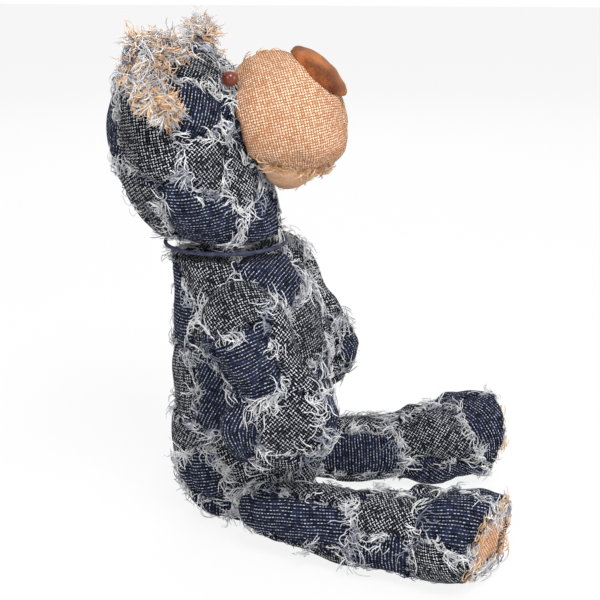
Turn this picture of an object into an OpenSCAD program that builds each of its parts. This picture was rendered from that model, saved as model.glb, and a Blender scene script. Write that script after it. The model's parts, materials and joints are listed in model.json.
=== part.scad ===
// Sitting patchwork bear: a stuffed cloth toy whose arms, legs, ears and head
// are sewn on with thread and turn on their seams.
// +Z is up, the bear faces -Y, and +X is its left. The origin is the centre of
// the flat seat panel, on the surface that the toy sits on.

/* [Torso] */
// Height from the seat to the neck seam
torso_height = 137; // [125:1:164]
// Full width of the body tube before its sides are flattened
torso_width = 72; // [66:1:80]
// Full depth from belly to back
torso_depth = 82; // [72:1:88]
// Half width of the flat sides that the arms lie against
shoulder_land = 33.5; // [31:0.5:35]
// Half width of the flat sides that the legs lie against
hip_land = 18; // [16:0.5:20]
// Diameter of the flat panel that the toy sits on
seat_diameter = 34; // [26:1:40]
// How far the neck lies behind the middle of the seat
neck_setback = 12; // [6:1:16]
// Diameter of the neck seam
neck_diameter = 57; // [46:1:60]

/* [Head] */
// Height from the neck seam to the crown
head_height = 94; // [88:1:115]
// Width across the temples, without the ears
head_width = 98; // [86:1:106]
// Depth of the head without the muzzle
head_depth = 70; // [59:1:80]
// How far the middle of the head lies behind the middle of the seat
head_setback = 31; // [26:1:36]
// How far the muzzle reaches beyond its seat in the face
muzzle_length = 40; // [34:1:46]
// Width of the muzzle
muzzle_width = 55; // [48:1:60]
// Height of the muzzle
muzzle_height = 63; // [54:1:68]
// How far the muzzle points above the horizontal, degrees
muzzle_lift = 14; // [5:1:20]
// Height of the muzzle's middle above the neck seam
muzzle_rise = 52; // [46:1:58]
// Diameter of an eye bead
eye_diameter = 7; // [5:0.5:9]
// Width of the nose pad
nose_width = 31; // [26:1:38]
// Thickness of the nose pad
nose_thickness = 2.4; // [1.5:0.1:4]

/* [Ears] */
// Width of an ear at its widest
ear_width = 36; // [29:1:43]
// Height of an ear above its seam
ear_height = 26; // [21:1:31]
// How far the ear's rim curls forward
ear_cup = 9; // [4:1:12]
// How far an ear leans back from its seam, degrees
ear_lean = 22; // [12:1:30]
// Thickness of the padded back of an ear
ear_back_thickness = 2.2; // [1.5:0.1:3]

/* [Arms] */
// Length from the shoulder thread to the end of the paw
arm_length = 70; // [60:1:84]
// Thickness of an arm, across the body
arm_thickness = 31; // [26:1:34]
// Width of the upper arm, front to back
upper_arm_width = 44; // [36:1:48]
// Width of the paw, front to back
paw_width = 58; // [46:1:60]
// Height of the shoulder thread above the seat
shoulder_height = 113; // [110:1:118]
// How far the shoulder thread lies in front of the middle of the seat
shoulder_forward = 5; // [0:1:7]
// Least that the arm hangs forward of straight down, degrees
arm_hang = 18; // [8:1:24]
// Height left between the end of the arm and the top of the leg under it
paw_clearance = 7.5; // [7:0.5:14]

/* [Legs] */
// Length from the hip thread to the sole
leg_length = 104; // [92:1:116]
// Diameter of the thigh
thigh_diameter = 38.5; // [34:0.5:46]
// Width of the leg where it is sewn to the torso
root_width = 28; // [24:1:32]
// Diameter of the foot
foot_diameter = 48; // [42:1:54]
// How far its thread pulls the root of a leg in
root_tuck = 0.7; // [0:0.1:0.8]
// How far the hip thread lies in front of the middle of the seat
hip_forward = 12; // [10:1:14]
// How far a leg is spread from straight ahead, degrees
leg_splay = 15; // [8:1:18]
// How far the sole leans, toe first, degrees
sole_lean = 12; // [0:1:18]
// How far the sole is turned outwards, degrees
sole_turn = 12; // [0:1:16]
// How far the middle of the sole bulges
sole_dome = 3; // [1:0.5:5]

/* [Cloth and thread] */
// Thickness of the patches
skin = 1.2; // [0.8:0.1:2]
// Gap between neighbouring patches, and between a cover and what is sewn to it
seam_gap = 0.3; // [0.2:0.05:0.5]
// Gap between the patches and the filling
filling_gap = 0.5; // [0.4:0.1:0.8]
// Gap between a limb and the land that it lies against
limb_gap = 2.4; // [2:0.1:3]
// Radius of the loop that a sewing thread makes at each limb
thread_loop = 6; // [4:0.5:8]
// Gap between the torso and the head at the neck
neck_gap = 2.4; // [2:0.1:3]
// Gap between an ear and the head
ear_gap = 2; // [1.8:0.1:2.6]
// Diameter of the thread that an ear is sewn on with
ear_thread = 0.8; // [0.5:0.1:1]

/* [Squeaker] */
// Diameter of the air bulb
bulb_diameter = 36; // [28:1:40]
// Diameter of the reed holder
reed_diameter = 12; // [8:1:14]
// Length of the reed holder
reed_length = 10; // [6:1:14]

/* [Hidden] */

navy = [0.10, 0.12, 0.20];
deep_navy = [0.07, 0.08, 0.14];
peach = [0.86, 0.64, 0.45];
pale_peach = [0.91, 0.72, 0.54];
rust = [0.42, 0.18, 0.08];
thread_navy = [0.08, 0.09, 0.16];
filling_white = [0.94, 0.93, 0.90];
squeaker_white = [0.88, 0.90, 0.92];

OPEN = 999;          // a land that never flattens anything
LEFT = 1;            // the sides, as the sign of X
RIGHT = -1;
filling_inset = skin + filling_gap;
neck_radius = neck_diameter / 2;
torso_half = [torso_width / 2, torso_depth / 2];
head_half = [head_width / 2, head_depth / 2];
arm_plane = shoulder_land + limb_gap;
hip_plane = hip_land + limb_gap;
thread_radius = limb_gap / 2 - seam_gap;
leg_underside = 0.3;  // height of the undersides of the legs above the seat's surface
hip_height = thigh_diameter / 2 + leg_underside + 0.5;
arm_land = arm_thickness / 2 - 1.5;   // the flat inner side of an arm
arm_room = shoulder_height - thigh_diameter - leg_underside - paw_clearance;
hang = max(arm_hang, acos(min(1, arm_room / arm_length)));   // a long arm reaches further forward
head_base = torso_height + neck_gap;

// Ring tables. Each row is [distance along the form, offset of the ring's
// middle, half width, half depth, land on the low X side, on the high X side].
torso_rings = let (
    h = torso_height, w = torso_half[0], d = torso_half[1], seat = seat_diameter / 2,
    hip = hip_land, land = shoulder_land, set = neck_setback
) [
    [0.00 * h, 0.00 * set, seat, seat, hip, hip],
    [0.05 * h, 0.30 * set, 0.70 * w, 0.69 * d, hip, hip],
    [0.15 * h, 0.30 * set, 0.84 * w, 0.89 * d, hip, hip],
    [0.29 * h, 0.10 * set, 0.88 * w, 0.98 * d, hip, hip],
    [0.44 * h, 0.00 * set, 0.95 * w, 1.00 * d, land - 1, land - 1],
    [0.62 * h, 0.00 * set, 1.00 * w, 0.97 * d, land, land],
    [0.82 * h, 0.20 * set, 0.98 * w, 0.88 * d, land, land],
    [0.94 * h, 0.62 * set, 0.87 * w, 0.76 * d, land, land],
    [1.00 * h, 1.00 * set, neck_radius, neck_radius, land, land]
];

head_rings = let (
    h = head_height, w = head_half[0], d = head_half[1], back = head_setback, neck = neck_setback
) [
    [0.00 * h, neck, neck_radius, neck_radius, OPEN, OPEN],
    [0.11 * h, neck + 0.24 * (back - neck), 0.78 * w, 0.96 * d, OPEN, OPEN],
    [0.25 * h, neck + 0.57 * (back - neck), 0.92 * w, 1.02 * d, OPEN, OPEN],
    [0.42 * h, neck + 0.86 * (back - neck), 0.99 * w, 1.03 * d, OPEN, OPEN],
    [0.58 * h, back - 1, 1.00 * w, 1.00 * d, OPEN, OPEN],
    [0.73 * h, back + 0.01 * h, 0.94 * w, 0.91 * d, OPEN, OPEN],
    [0.85 * h, back + 0.04 * h, 0.78 * w, 0.72 * d, OPEN, OPEN],
    [0.94 * h, back + 0.06 * h, 0.53 * w, 0.48 * d, OPEN, OPEN],
    [0.99 * h, back + 0.07 * h, 0.24 * w, 0.22 * d, OPEN, OPEN],
    [1.00 * h, back + 0.07 * h, 0.07 * w, 0.08 * d, OPEN, OPEN]
];

muzzle_rings = let (l = muzzle_length, w = muzzle_width / 2, h = muzzle_height / 2) [
    [-0.40 * l, 0, 0.80 * w, 0.84 * h, OPEN, OPEN],
    [0.00 * l, 0, 0.95 * w, 0.96 * h, OPEN, OPEN],
    [0.28 * l, 0, 1.00 * w, 1.00 * h, OPEN, OPEN],
    [0.55 * l, 0, 0.93 * w, 0.94 * h, OPEN, OPEN],
    [0.78 * l, 0, 0.72 * w, 0.74 * h, OPEN, OPEN],
    [0.93 * l, 0, 0.42 * w, 0.44 * h, OPEN, OPEN],
    [0.99 * l, 0, 0.19 * w, 0.20 * h, OPEN, OPEN],
    [1.00 * l, 0, 0.09 * w, 0.09 * h, OPEN, OPEN]
];

arm_rings = let (
    l = arm_length, x = arm_thickness / 2, u = upper_arm_width / 2, p = paw_width / 2,
    land = arm_land, top = upper_arm_width / 2 - 0.5
) [
    [-1.00 * top, 0, 0.22 * x, 0.20 * u, land, OPEN],
    [-0.80 * top, 0, 0.62 * x, 0.58 * u, land, OPEN],
    [-0.38 * top, 0, 0.92 * x, 0.88 * u, land, OPEN],
    [0.08 * l, 0, 1.00 * x, 1.00 * u, land, OPEN],
    [0.34 * l, 0.04 * l, 0.96 * x, 0.94 * u, land, OPEN],
    [0.54 * l, 0.04 * l, 0.98 * x, 0.94 * p, land, OPEN],
    [0.73 * l, 0.02 * l, 1.00 * x, 0.98 * p, land, OPEN],
    [0.88 * l, 0, 0.84 * x, 0.80 * p, land, OPEN],
    [0.97 * l, 0, 0.54 * x, 0.48 * p, land, OPEN],
    [1.00 * l, 0, 0.22 * x, 0.16 * p, land, OPEN]
];

leg_rings = let (
    l = leg_length, t = thigh_diameter / 2, f = foot_diameter / 2,
    root = root_width / 2, land = root_width / 2 - 1, low = leg_underside - hip_height
) [
    [-0.76 * t, t + low, 0.22 * root, 0.17 * t, land, OPEN],
    [-0.62 * t, t + low, 0.62 * root, 0.46 * t, land, OPEN],
    [-0.30 * t, t + low, 0.92 * root, 0.70 * t, land, OPEN],
    [0.06 * l, t + low, 1.06 * root, 0.84 * t, land, OPEN],
    [0.22 * l, t + low, 0.96 * t, 0.96 * t, land + 3, OPEN],
    [0.42 * l, t + low, 1.00 * t, 1.00 * t, t, OPEN],
    [0.60 * l, 1.02 * t + low, 1.01 * t, 1.02 * t, 1.1 * t, OPEN],
    [0.77 * l, 0.93 * f + low, 0.92 * f, 0.93 * f, f, OPEN],
    [0.91 * l, f + low, f, f, 1.1 * f, OPEN],
    [1.00 * l, f + low, 0.93 * f, 0.93 * f, 1.1 * f, OPEN]
];

/* Points on a form */

// Smooth value between b and c, with a and d as the neighbours
function between(a, b, c, d, t) =
    b + 0.5 * t * (c - a + t * (2 * a - 5 * b + 4 * c - d + t * (3 * (b - c) + d - a)));

// The ring at s, from 0 at the first row of a table to 1 at its last
function ring_at(rings, s) =
    let (
        last = len(rings) - 1,
        i = min(floor(s * last), last - 1),
        t = s * last - i
    )
    between(rings[max(i - 1, 0)], rings[i], rings[i + 1], rings[min(i + 2, last)], t);

// A point on the form, at angle t of the ring at s and d below the surface.
// The ends move in by d too, and a land flattens the sides.
function on_form(rings, s, t, d) =
    let (
        r = ring_at(rings, s),
        low = rings[0][0],
        high = rings[len(rings) - 1][0],
        middle = (low + high) / 2,
        half = (high - low) / 2,
        along = middle + (r[0] - middle) * (half - d) / half
    )
    [
        max(d - r[4], min(r[5] - d, (r[2] - d) * cos(t))),
        r[1] + (r[3] - d) * sin(t),
        along
    ];

// The lean of the foot: nothing on the thigh, all of it at the sole
function lean(p, l) =
    let (w = max(0, min(1, (p[2] - 0.72 * l) / (0.28 * l))))
    [p[0], p[1], p[2] + w * (tan(sole_lean) * p[1] - tan(sole_turn) * p[0])];

// Faces of a grid of (rows + 1) x (cols + 1) points that starts at point o
function grid(o, rows, cols, flip) = [
    for (i = [0:rows - 1], j = [0:cols - 1])
        let (
            a = o + i * (cols + 1) + j, b = a + 1,
            c = a + cols + 1, e = c + 1
        )
        each flip ? [[a, b, e], [a, e, c]] : [[a, c, e], [a, e, b]]
];

// Faces that join the edges of two grids, the outer at 0 and the inner at n
function grid_rim(n, rows, cols) =
    let (
        top = rows * (cols + 1),
        rim = concat(
            [for (j = [0:cols]) j],
            [for (i = [1:rows]) i * (cols + 1) + cols],
            [for (j = [1:cols]) top + cols - j],
            [for (i = [1:rows - 1]) (rows - i) * (cols + 1)]
        ),
        count = len(rim)
    )
    [for (k = [0:count - 1])
        let (p = rim[k], q = rim[(k + 1) % count]) [p, q, q + n, p + n]];

// Points of a form, leaned where the form is a leg
function shaped(rings, s, t, d, foot) =
    let (p = on_form(rings, s, t, d)) foot ? lean(p, rings[len(rings) - 1][0]) : p;

/* Solids made from a form */

// Rows along a whole form and columns round it. The cloth and the filling
// share them, so that their facets lie one inside the other.
TORSO_GRID = [16, 24];
HEAD_GRID = [15, 24];
MUZZLE_GRID = [12, 24];
ARM_GRID = [12, 16];
LEG_GRID = [12, 16];

// A patch of cloth between the rings s0 and s1 and the angles t0 and t1,
// cut back by half a seam gap on every side
module patch(rings, s, t, fine, foot = false) {
    rows = round((s[1] - s[0]) * fine[0]);
    cols = round((t[1] - t[0]) / 360 * fine[1]);
    length = rings[len(rings) - 1][0] - rings[0][0];
    ds = seam_gap / 2 / length;
    dt = seam_gap / 2 / (ring_at(rings, (s[0] + s[1]) / 2)[2]) * 180 / PI;
    s0 = s[0] + ds;
    s1 = s[1] - ds;
    t0 = t[0] + dt;
    t1 = t[1] - dt;
    n = (rows + 1) * (cols + 1);
    points = [
        for (d = [0, skin], i = [0:rows], j = [0:cols])
            shaped(rings, s0 + (s1 - s0) * i / rows, t0 + (t1 - t0) * j / cols, d, foot)
    ];
    polyhedron(
        points = points,
        faces = concat(grid(0, rows, cols, false), grid(n, rows, cols, true), grid_rim(n, rows, cols)),
        convexity = 4
    );
}

// A cap of cloth over an end of a form: the whole way round from the open
// edge at s[0] to the closed end at s[1], which may be the lower one
module cap(rings, s, fine) {
    rows = round(abs(s[1] - s[0]) * fine[0]);
    cols = fine[1];
    length = rings[len(rings) - 1][0] - rings[0][0];
    s0 = s[0] + (s[0] < s[1] ? 1 : -1) * seam_gap / 2 / length;
    ring = [for (j = [0:cols - 1]) j];
    upward = s[0] < s[1];
    points = [
        for (d = [0, skin], i = [0:rows], j = [0:cols - 1])
            on_form(rings, s0 + (s[1] - s0) * i / rows, 360 * j / cols, d)
    ];
    n = (rows + 1) * cols;
    side = [
        for (o = [0, n], i = [0:rows - 1], j = ring)
            let (a = o + i * cols + j, b = o + i * cols + (j + 1) % cols)
            each (o == 0) == upward
                ? [[a, a + cols, b + cols], [a, b + cols, b]]
                : [[a, b, b + cols], [a, b + cols, a + cols]]
    ];
    rim = [
        for (j = ring) let (k = (j + 1) % cols)
            upward ? [j, k, k + n, j + n] : [j, j + n, k + n, k]
    ];
    end = rows * cols;
    ends = upward
        ? [[for (j = ring) end + cols - 1 - j], [for (j = ring) n + end + j]]
        : [[for (j = ring) end + j], [for (j = ring) n + end + cols - 1 - j]];
    polyhedron(points = points, faces = concat(side, rim, ends), convexity = 6);
}

// The whole form as one closed solid, d below its surface
module filled(rings, d, fine, foot = false) {
    rows = fine[0];
    cols = fine[1];
    points = [
        for (i = [0:rows], j = [0:cols - 1])
            shaped(rings, i / rows, 360 * j / cols, d, foot)
    ];
    side = [
        for (i = [0:rows - 1], j = [0:cols - 1])
            let (a = i * cols + j, b = i * cols + (j + 1) % cols)
            each [[a, a + cols, b + cols], [a, b + cols, b]]
    ];
    ends = [
        [for (j = [0:cols - 1]) j],
        [for (j = [0:cols - 1]) rows * cols + cols - 1 - j]
    ];
    polyhedron(points = points, faces = concat(side, ends), convexity = 4);
}

/* Places */

FRONT = [225, 315];
BACK = [45, 135];
LEFT_SIDE = [-45, 45];
RIGHT_SIDE = [135, 225];
TORSO_LOW = [0, 3 / 8];
TORSO_MID = [3 / 8, 5 / 8];
TORSO_HIGH = [5 / 8, 1];
HEAD_LOW = [0, 1 / 3];
HEAD_MID = [1 / 3, 2 / 3];
HEAD_HIGH = [2 / 3, 1];

module on_head() translate([0, 0, head_base]) children();

module on_muzzle()
    translate([0, head_setback - head_depth / 2, head_base + muzzle_rise])
        rotate([90 - muzzle_lift, 0, 0]) children();

module on_arm(side)
    mirror([side == LEFT ? 0 : 1, 0, 0])
        translate([arm_plane + arm_land, -shoulder_forward, shoulder_height])
            rotate([180 - hang, 0, 0]) children();

module on_leg(side)
    mirror([side == LEFT ? 0 : 1, 0, 0])
        translate([hip_plane + root_width / 2 - root_tuck, -hip_forward, hip_height])
            rotate([0, 0, leg_splay]) rotate([90, 0, 0]) children();

/* Torso */

module torso_patch(s, t) color(navy) patch(torso_rings, s, t, TORSO_GRID);
module chest_patch() torso_patch(TORSO_HIGH, FRONT);
module belly_patch() torso_patch(TORSO_MID, FRONT);
module lap_patch() torso_patch(TORSO_LOW, FRONT);
module upper_back_patch() torso_patch(TORSO_HIGH, BACK);
module mid_back_patch() torso_patch(TORSO_MID, BACK);
module lower_back_patch() torso_patch(TORSO_LOW, BACK);
module left_upper_flank_patch() torso_patch(TORSO_HIGH, LEFT_SIDE);
module left_mid_flank_patch() torso_patch(TORSO_MID, LEFT_SIDE);
module left_lower_flank_patch() torso_patch(TORSO_LOW, LEFT_SIDE);
module right_upper_flank_patch() torso_patch(TORSO_HIGH, RIGHT_SIDE);
module right_mid_flank_patch() torso_patch(TORSO_MID, RIGHT_SIDE);
module right_lower_flank_patch() torso_patch(TORSO_LOW, RIGHT_SIDE);

module seat_panel()
    color(deep_navy) cylinder(r = seat_diameter / 2 - skin - seam_gap, h = skin, $fn = 64);

// Filling of the torso, with the pocket that holds the squeaker
module torso_stuffing() color(filling_white) difference() {
    filled(torso_rings, filling_inset, TORSO_GRID);
    squeaker_pocket(seam_gap);
}

/* Squeaker */

squeaker_place = [0, 0, 0.45 * torso_height];

module squeaker_pocket(clearance) {
    translate(squeaker_place) sphere(r = bulb_diameter / 2 + clearance, $fn = 48);
    translate(squeaker_place + [0, 0, bulb_diameter / 2 - 1])
        cylinder(r = reed_diameter / 2 + clearance, h = reed_length + 2 + clearance, $fn = 48);
}

module squeaker_bulb() color(squeaker_white) translate(squeaker_place) difference() {
    sphere(r = bulb_diameter / 2, $fn = 48);
    sphere(r = bulb_diameter / 2 - skin, $fn = 48);
    cylinder(r = reed_diameter / 2 - skin, h = bulb_diameter, $fn = 48);
}

module squeaker_reed() color(squeaker_white)
    translate(squeaker_place + [0, 0, bulb_diameter / 2 + seam_gap]) difference() {
        cylinder(r = reed_diameter / 2, h = reed_length, $fn = 48);
        translate([0, 0, skin]) cylinder(r = reed_diameter / 2 - skin, h = reed_length, $fn = 48);
        translate([0, 0, -1]) cylinder(r = reed_diameter / 5, h = reed_length, $fn = 48);
    }

/* Head */

module head_patch(s, t) color(navy) on_head() patch(head_rings, s, t, HEAD_GRID);
module throat_patch() head_patch(HEAD_LOW, FRONT);
module left_jaw_patch() head_patch(HEAD_LOW, LEFT_SIDE);
module right_jaw_patch() head_patch(HEAD_LOW, RIGHT_SIDE);
module nape_patch() head_patch(HEAD_LOW, BACK);
module brow_patch() head_patch(HEAD_MID, FRONT);
module left_temple_patch() head_patch(HEAD_MID, LEFT_SIDE);
module right_temple_patch() head_patch(HEAD_MID, RIGHT_SIDE);
module back_head_patch() head_patch(HEAD_MID, BACK);
module crown_patch() color(deep_navy) on_head() cap(head_rings, HEAD_HIGH, HEAD_GRID);
module head_stuffing() color(filling_white) on_head()
    filled(head_rings, filling_inset, HEAD_GRID);

// The head and the room that anything sewn to it leaves
module head_room(gap, grid = HEAD_GRID) on_head() filled(head_rings, -gap, grid);

module muzzle_cover() difference() {
    on_muzzle() filled(muzzle_rings, 0, MUZZLE_GRID);
    on_muzzle() filled(muzzle_rings, skin, MUZZLE_GRID);
    head_room(seam_gap);
}

MUZZLE_SEAM_TILT = 24;  // how far the seam of the muzzle rises towards the nose
MUZZLE_SEAM_DROP = 14;  // how far it lies below the muzzle's middle

// Everything above the seam that runs round the muzzle from cheek to chin
module above_muzzle_seam(gap)
    on_muzzle() rotate([MUZZLE_SEAM_TILT, 0, 0])
        translate([-muzzle_width, gap - MUZZLE_SEAM_DROP, -2 * muzzle_length])
            cube([2 * muzzle_width, 2 * muzzle_height, 5 * muzzle_length]);

module muzzle_upper() color(peach) intersection() {
    muzzle_cover();
    above_muzzle_seam(seam_gap / 2);
}

module muzzle_lower() color(pale_peach) difference() {
    muzzle_cover();
    above_muzzle_seam(-seam_gap / 2);
}

module muzzle_stuffing() color(filling_white) difference() {
    on_muzzle() filled(muzzle_rings, filling_inset, MUZZLE_GRID);
    head_room(seam_gap);
}

NOSE_TILT = 28;         // how far the nose lies above the tip of the muzzle

// A pad that hugs the top of the muzzle's front
module nose_pad() color(rust) difference() {
    intersection() {
        on_muzzle() filled(muzzle_rings, -nose_thickness - seam_gap, MUZZLE_GRID);
        on_muzzle() rotate([-NOSE_TILT, 0, 0])
            cylinder(r = nose_width / 2, h = 2 * muzzle_length, $fn = 40);
    }
    on_muzzle() filled(muzzle_rings, -seam_gap, MUZZLE_GRID);
}

EYE_RING = 0.60;   // place of the eyes on the head
EYE_ANGLE = 300;

module eye(side) {
    p = on_form(head_rings, EYE_RING, EYE_ANGLE, -eye_diameter / 2 - seam_gap);
    color(rust) on_head() translate([side * p[0], p[1], p[2]])
        sphere(d = eye_diameter, $fn = 32);
}
module left_eye() eye(LEFT);
module right_eye() eye(RIGHT);

/* Ears */

EAR_RING = 0.62;   // place of the ears on the head
EAR_ANGLE = 355;
EAR_SLOPE = 72;    // how far an ear leans out from straight up
EAR_ROLL = -10;    // how far the lower end of the seam lies ahead of its upper end
EAR_SEAM_TILT = -12; // how much steeper than that the seam runs down along the head
EAR_SEAT_GAP = 0.3; // play between the ear's thread and the head
EAR_FOLD = 20;      // how far an ear folds forward about its seam
EAR_FOLD_GAP = 0.8; // gap to the head that is left when it is folded
EAR_THREAD_GAP = 0.3; // play between an ear and its thread
EAR_GRID = [10, 20]; // the head's surface as the ears are cut to it

ear_seat = on_form(head_rings, EAR_RING, EAR_ANGLE, -ear_thread / 2 - EAR_SEAT_GAP);

// The frame of the left ear's seam: along the seam X, out of the head +Z, backwards +Y
module on_ear_seam()
    on_head() translate(ear_seat)
        rotate([0, EAR_SLOPE, 0]) rotate([0, 0, EAR_ROLL]) rotate([0, EAR_SEAM_TILT, 0]) children();

// The way back from that frame
module off_ear_seam()
    rotate([0, -EAR_SEAM_TILT, 0]) rotate([0, 0, -EAR_ROLL]) rotate([0, -EAR_SLOPE, 0])
        translate(-ear_seat - [0, 0, head_base]) children();

// The left ear's own frame: across the ear along X, the ear up +Z, its back at +Y
module on_ear() on_ear_seam() rotate([0, -EAR_SEAM_TILT, 0]) rotate([-ear_lean, 0, 0]) children();

module on_ear_side(side) mirror([side == LEFT ? 0 : 1, 0, 0]) children();

// A point of the ear: u from -1 to 1 across it, v from 0 to 1 up it
function ear_point(u, v, back) =
    let (
        up = ear_height * v,
        across = ear_width / 2 * u * sqrt(1 - 0.92 * pow(abs(v), 2.6)),
        rise = 0.3 + 0.7 * max(0, v),
        curl = ear_cup * (rise * pow(across / ear_width * 2, 2) + 0.35 * v * v)
    )
    [across, back - curl, up];

module ear_sheet(from, to, low, rows = 7, cols = 12) {
    n = (rows + 1) * (cols + 1);
    points = [
        for (back = [from, to], i = [0:rows], j = [0:cols])
            ear_point(2 * j / cols - 1, low + (1 - low) * i / rows, back)
    ];
    polyhedron(
        points = points,
        faces = concat(grid(0, rows, cols, false), grid(n, rows, cols, true), grid_rim(n, rows, cols)),
        convexity = 6
    );
}

module ear_thread_rod(width, length)
    on_ear_seam() rotate([0, 90, 0]) cylinder(d = width, h = length, center = true, $fn = 16);

// The ear is cut clear of the head as it stands and folded forward, and round its thread
module ear_part(side, from, to) on_ear_side(side) difference() {
    on_ear() ear_sheet(from, to, -0.75);
    head_room(ear_gap, EAR_GRID);
    on_ear_seam() rotate([-EAR_FOLD, 0, 0]) off_ear_seam() head_room(EAR_FOLD_GAP, EAR_GRID);
    ear_thread_rod(ear_thread + 2 * EAR_THREAD_GAP, ear_width);
}

module ear_back(side) color(navy) ear_part(side, 0, ear_back_thickness);
module ear_lining(side) color(peach) ear_part(side, -skin - seam_gap, -seam_gap);
module ear_stitch(side) color(thread_navy) on_ear_side(side) ear_thread_rod(ear_thread, ear_width / 5);

module left_ear_back() ear_back(LEFT);
module left_ear_lining() ear_lining(LEFT);
module left_ear_stitch() ear_stitch(LEFT);
module right_ear_back() ear_back(RIGHT);
module right_ear_lining() ear_lining(RIGHT);
module right_ear_stitch() ear_stitch(RIGHT);

/* Arms */

module upper_arm_patches(side) color(navy) on_arm(side) {
    cap(arm_rings, [0.25, 0], ARM_GRID);
    for (t = [0:90:270]) patch(arm_rings, [0.25, 0.5], [t, t + 90], ARM_GRID);
}

module paw_patches(side) color(deep_navy) on_arm(side) {
    for (t = [0:90:270]) patch(arm_rings, [0.5, 0.75], [t, t + 90], ARM_GRID);
    cap(arm_rings, [0.75, 1], ARM_GRID);
}

module arm_stuffing(side) color(filling_white) on_arm(side)
    filled(arm_rings, filling_inset, ARM_GRID);

module left_upper_arm_patches() upper_arm_patches(LEFT);
module left_paw_patches() paw_patches(LEFT);
module left_arm_stuffing() arm_stuffing(LEFT);
module right_upper_arm_patches() upper_arm_patches(RIGHT);
module right_paw_patches() paw_patches(RIGHT);
module right_arm_stuffing() arm_stuffing(RIGHT);

/* Legs */

module thigh_patches(side) color(navy) on_leg(side) {
    cap(leg_rings, [0.25, 0], LEG_GRID);
    for (t = [0:90:270]) patch(leg_rings, [0.25, 7 / 12], [t, t + 90], LEG_GRID);
}

module foot_patches(side) color(deep_navy) on_leg(side)
    for (t = [45:90:315]) patch(leg_rings, [7 / 12, 1], [t, t + 90], LEG_GRID, true);

module leg_stuffing(side) color(filling_white) on_leg(side)
    filled(leg_rings, filling_inset, LEG_GRID, true);

// The sole is a low dome over the open end of the foot
module sole(side, rows = 4, cols = 24) color(peach) on_leg(side) {
    end = leg_rings[len(leg_rings) - 1];
    points = [
        for (back = [0, 1], i = [1:rows], j = [0:cols - 1])
            let (r = i / rows, t = 360 * j / cols)
            lean([
                r * end[2] * cos(t),
                end[1] + r * end[3] * sin(t),
                end[0] + seam_gap + (1 - back) * (skin + sole_dome * (1 - r * r))
            ], end[0])
    ];
    n = rows * cols;
    side_faces = [
        for (o = [0, n], i = [0:rows - 2], j = [0:cols - 1])
            let (a = o + i * cols + j, b = o + i * cols + (j + 1) % cols)
            each o == 0
                ? [[a, b, b + cols], [a, b + cols, a + cols]]
                : [[a, a + cols, b + cols], [a, b + cols, b]]
    ];
    rim = [
        for (j = [0:cols - 1])
            let (a = n - cols + j, b = n - cols + (j + 1) % cols) [a, b, b + n, a + n]
    ];
    middles = [[for (j = [0:cols - 1]) cols - 1 - j], [for (j = [0:cols - 1]) n + j]];
    polyhedron(points = points, faces = concat(side_faces, rim, middles), convexity = 4);
}

module left_thigh_patches() thigh_patches(LEFT);
module left_foot_patches() foot_patches(LEFT);
module left_sole() sole(LEFT);
module left_leg_stuffing() leg_stuffing(LEFT);
module right_thigh_patches() thigh_patches(RIGHT);
module right_foot_patches() foot_patches(RIGHT);
module right_sole() sole(RIGHT);
module right_leg_stuffing() leg_stuffing(RIGHT);

/* Threads */

module thread_ring(radius, thickness) color(thread_navy)
    rotate_extrude($fn = 64) translate([radius, 0]) circle(r = thickness, $fn = 24);

module neck_thread()
    translate([0, neck_setback, torso_height + neck_gap / 2])
        thread_ring(neck_radius - skin / 2, neck_gap / 2 - seam_gap);

module limb_threads(land, forward, height)
    for (side = [LEFT, RIGHT])
        translate([side * (land + limb_gap / 2), -forward, height])
            rotate([0, 90, 0]) thread_ring(thread_loop, thread_radius);

module shoulder_threads() limb_threads(shoulder_land, shoulder_forward, shoulder_height);
module hip_threads() limb_threads(hip_land, hip_forward, hip_height);

chest_patch();
belly_patch();
lap_patch();
upper_back_patch();
mid_back_patch();
lower_back_patch();
left_upper_flank_patch();
left_mid_flank_patch();
left_lower_flank_patch();
right_upper_flank_patch();
right_mid_flank_patch();
right_lower_flank_patch();
seat_panel();
torso_stuffing();
squeaker_bulb();
squeaker_reed();
throat_patch();
left_jaw_patch();
right_jaw_patch();
nape_patch();
brow_patch();
left_temple_patch();
right_temple_patch();
back_head_patch();
crown_patch();
head_stuffing();
muzzle_upper();
muzzle_lower();
muzzle_stuffing();
nose_pad();
left_eye();
right_eye();
left_ear_back();
left_ear_lining();
left_ear_stitch();
right_ear_back();
right_ear_lining();
right_ear_stitch();
left_upper_arm_patches();
left_paw_patches();
left_arm_stuffing();
right_upper_arm_patches();
right_paw_patches();
right_arm_stuffing();
left_thigh_patches();
left_foot_patches();
left_sole();
left_leg_stuffing();
right_thigh_patches();
right_foot_patches();
right_sole();
right_leg_stuffing();
neck_thread();
shoulder_threads();
hip_threads();
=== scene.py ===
"""A sitting patchwork bear: puffed cloth forms, raw-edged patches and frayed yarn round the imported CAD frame."""
import json
import math

import bpy
import numpy as np
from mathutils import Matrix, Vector
from mathutils.bvhtree import BVHTree


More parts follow.
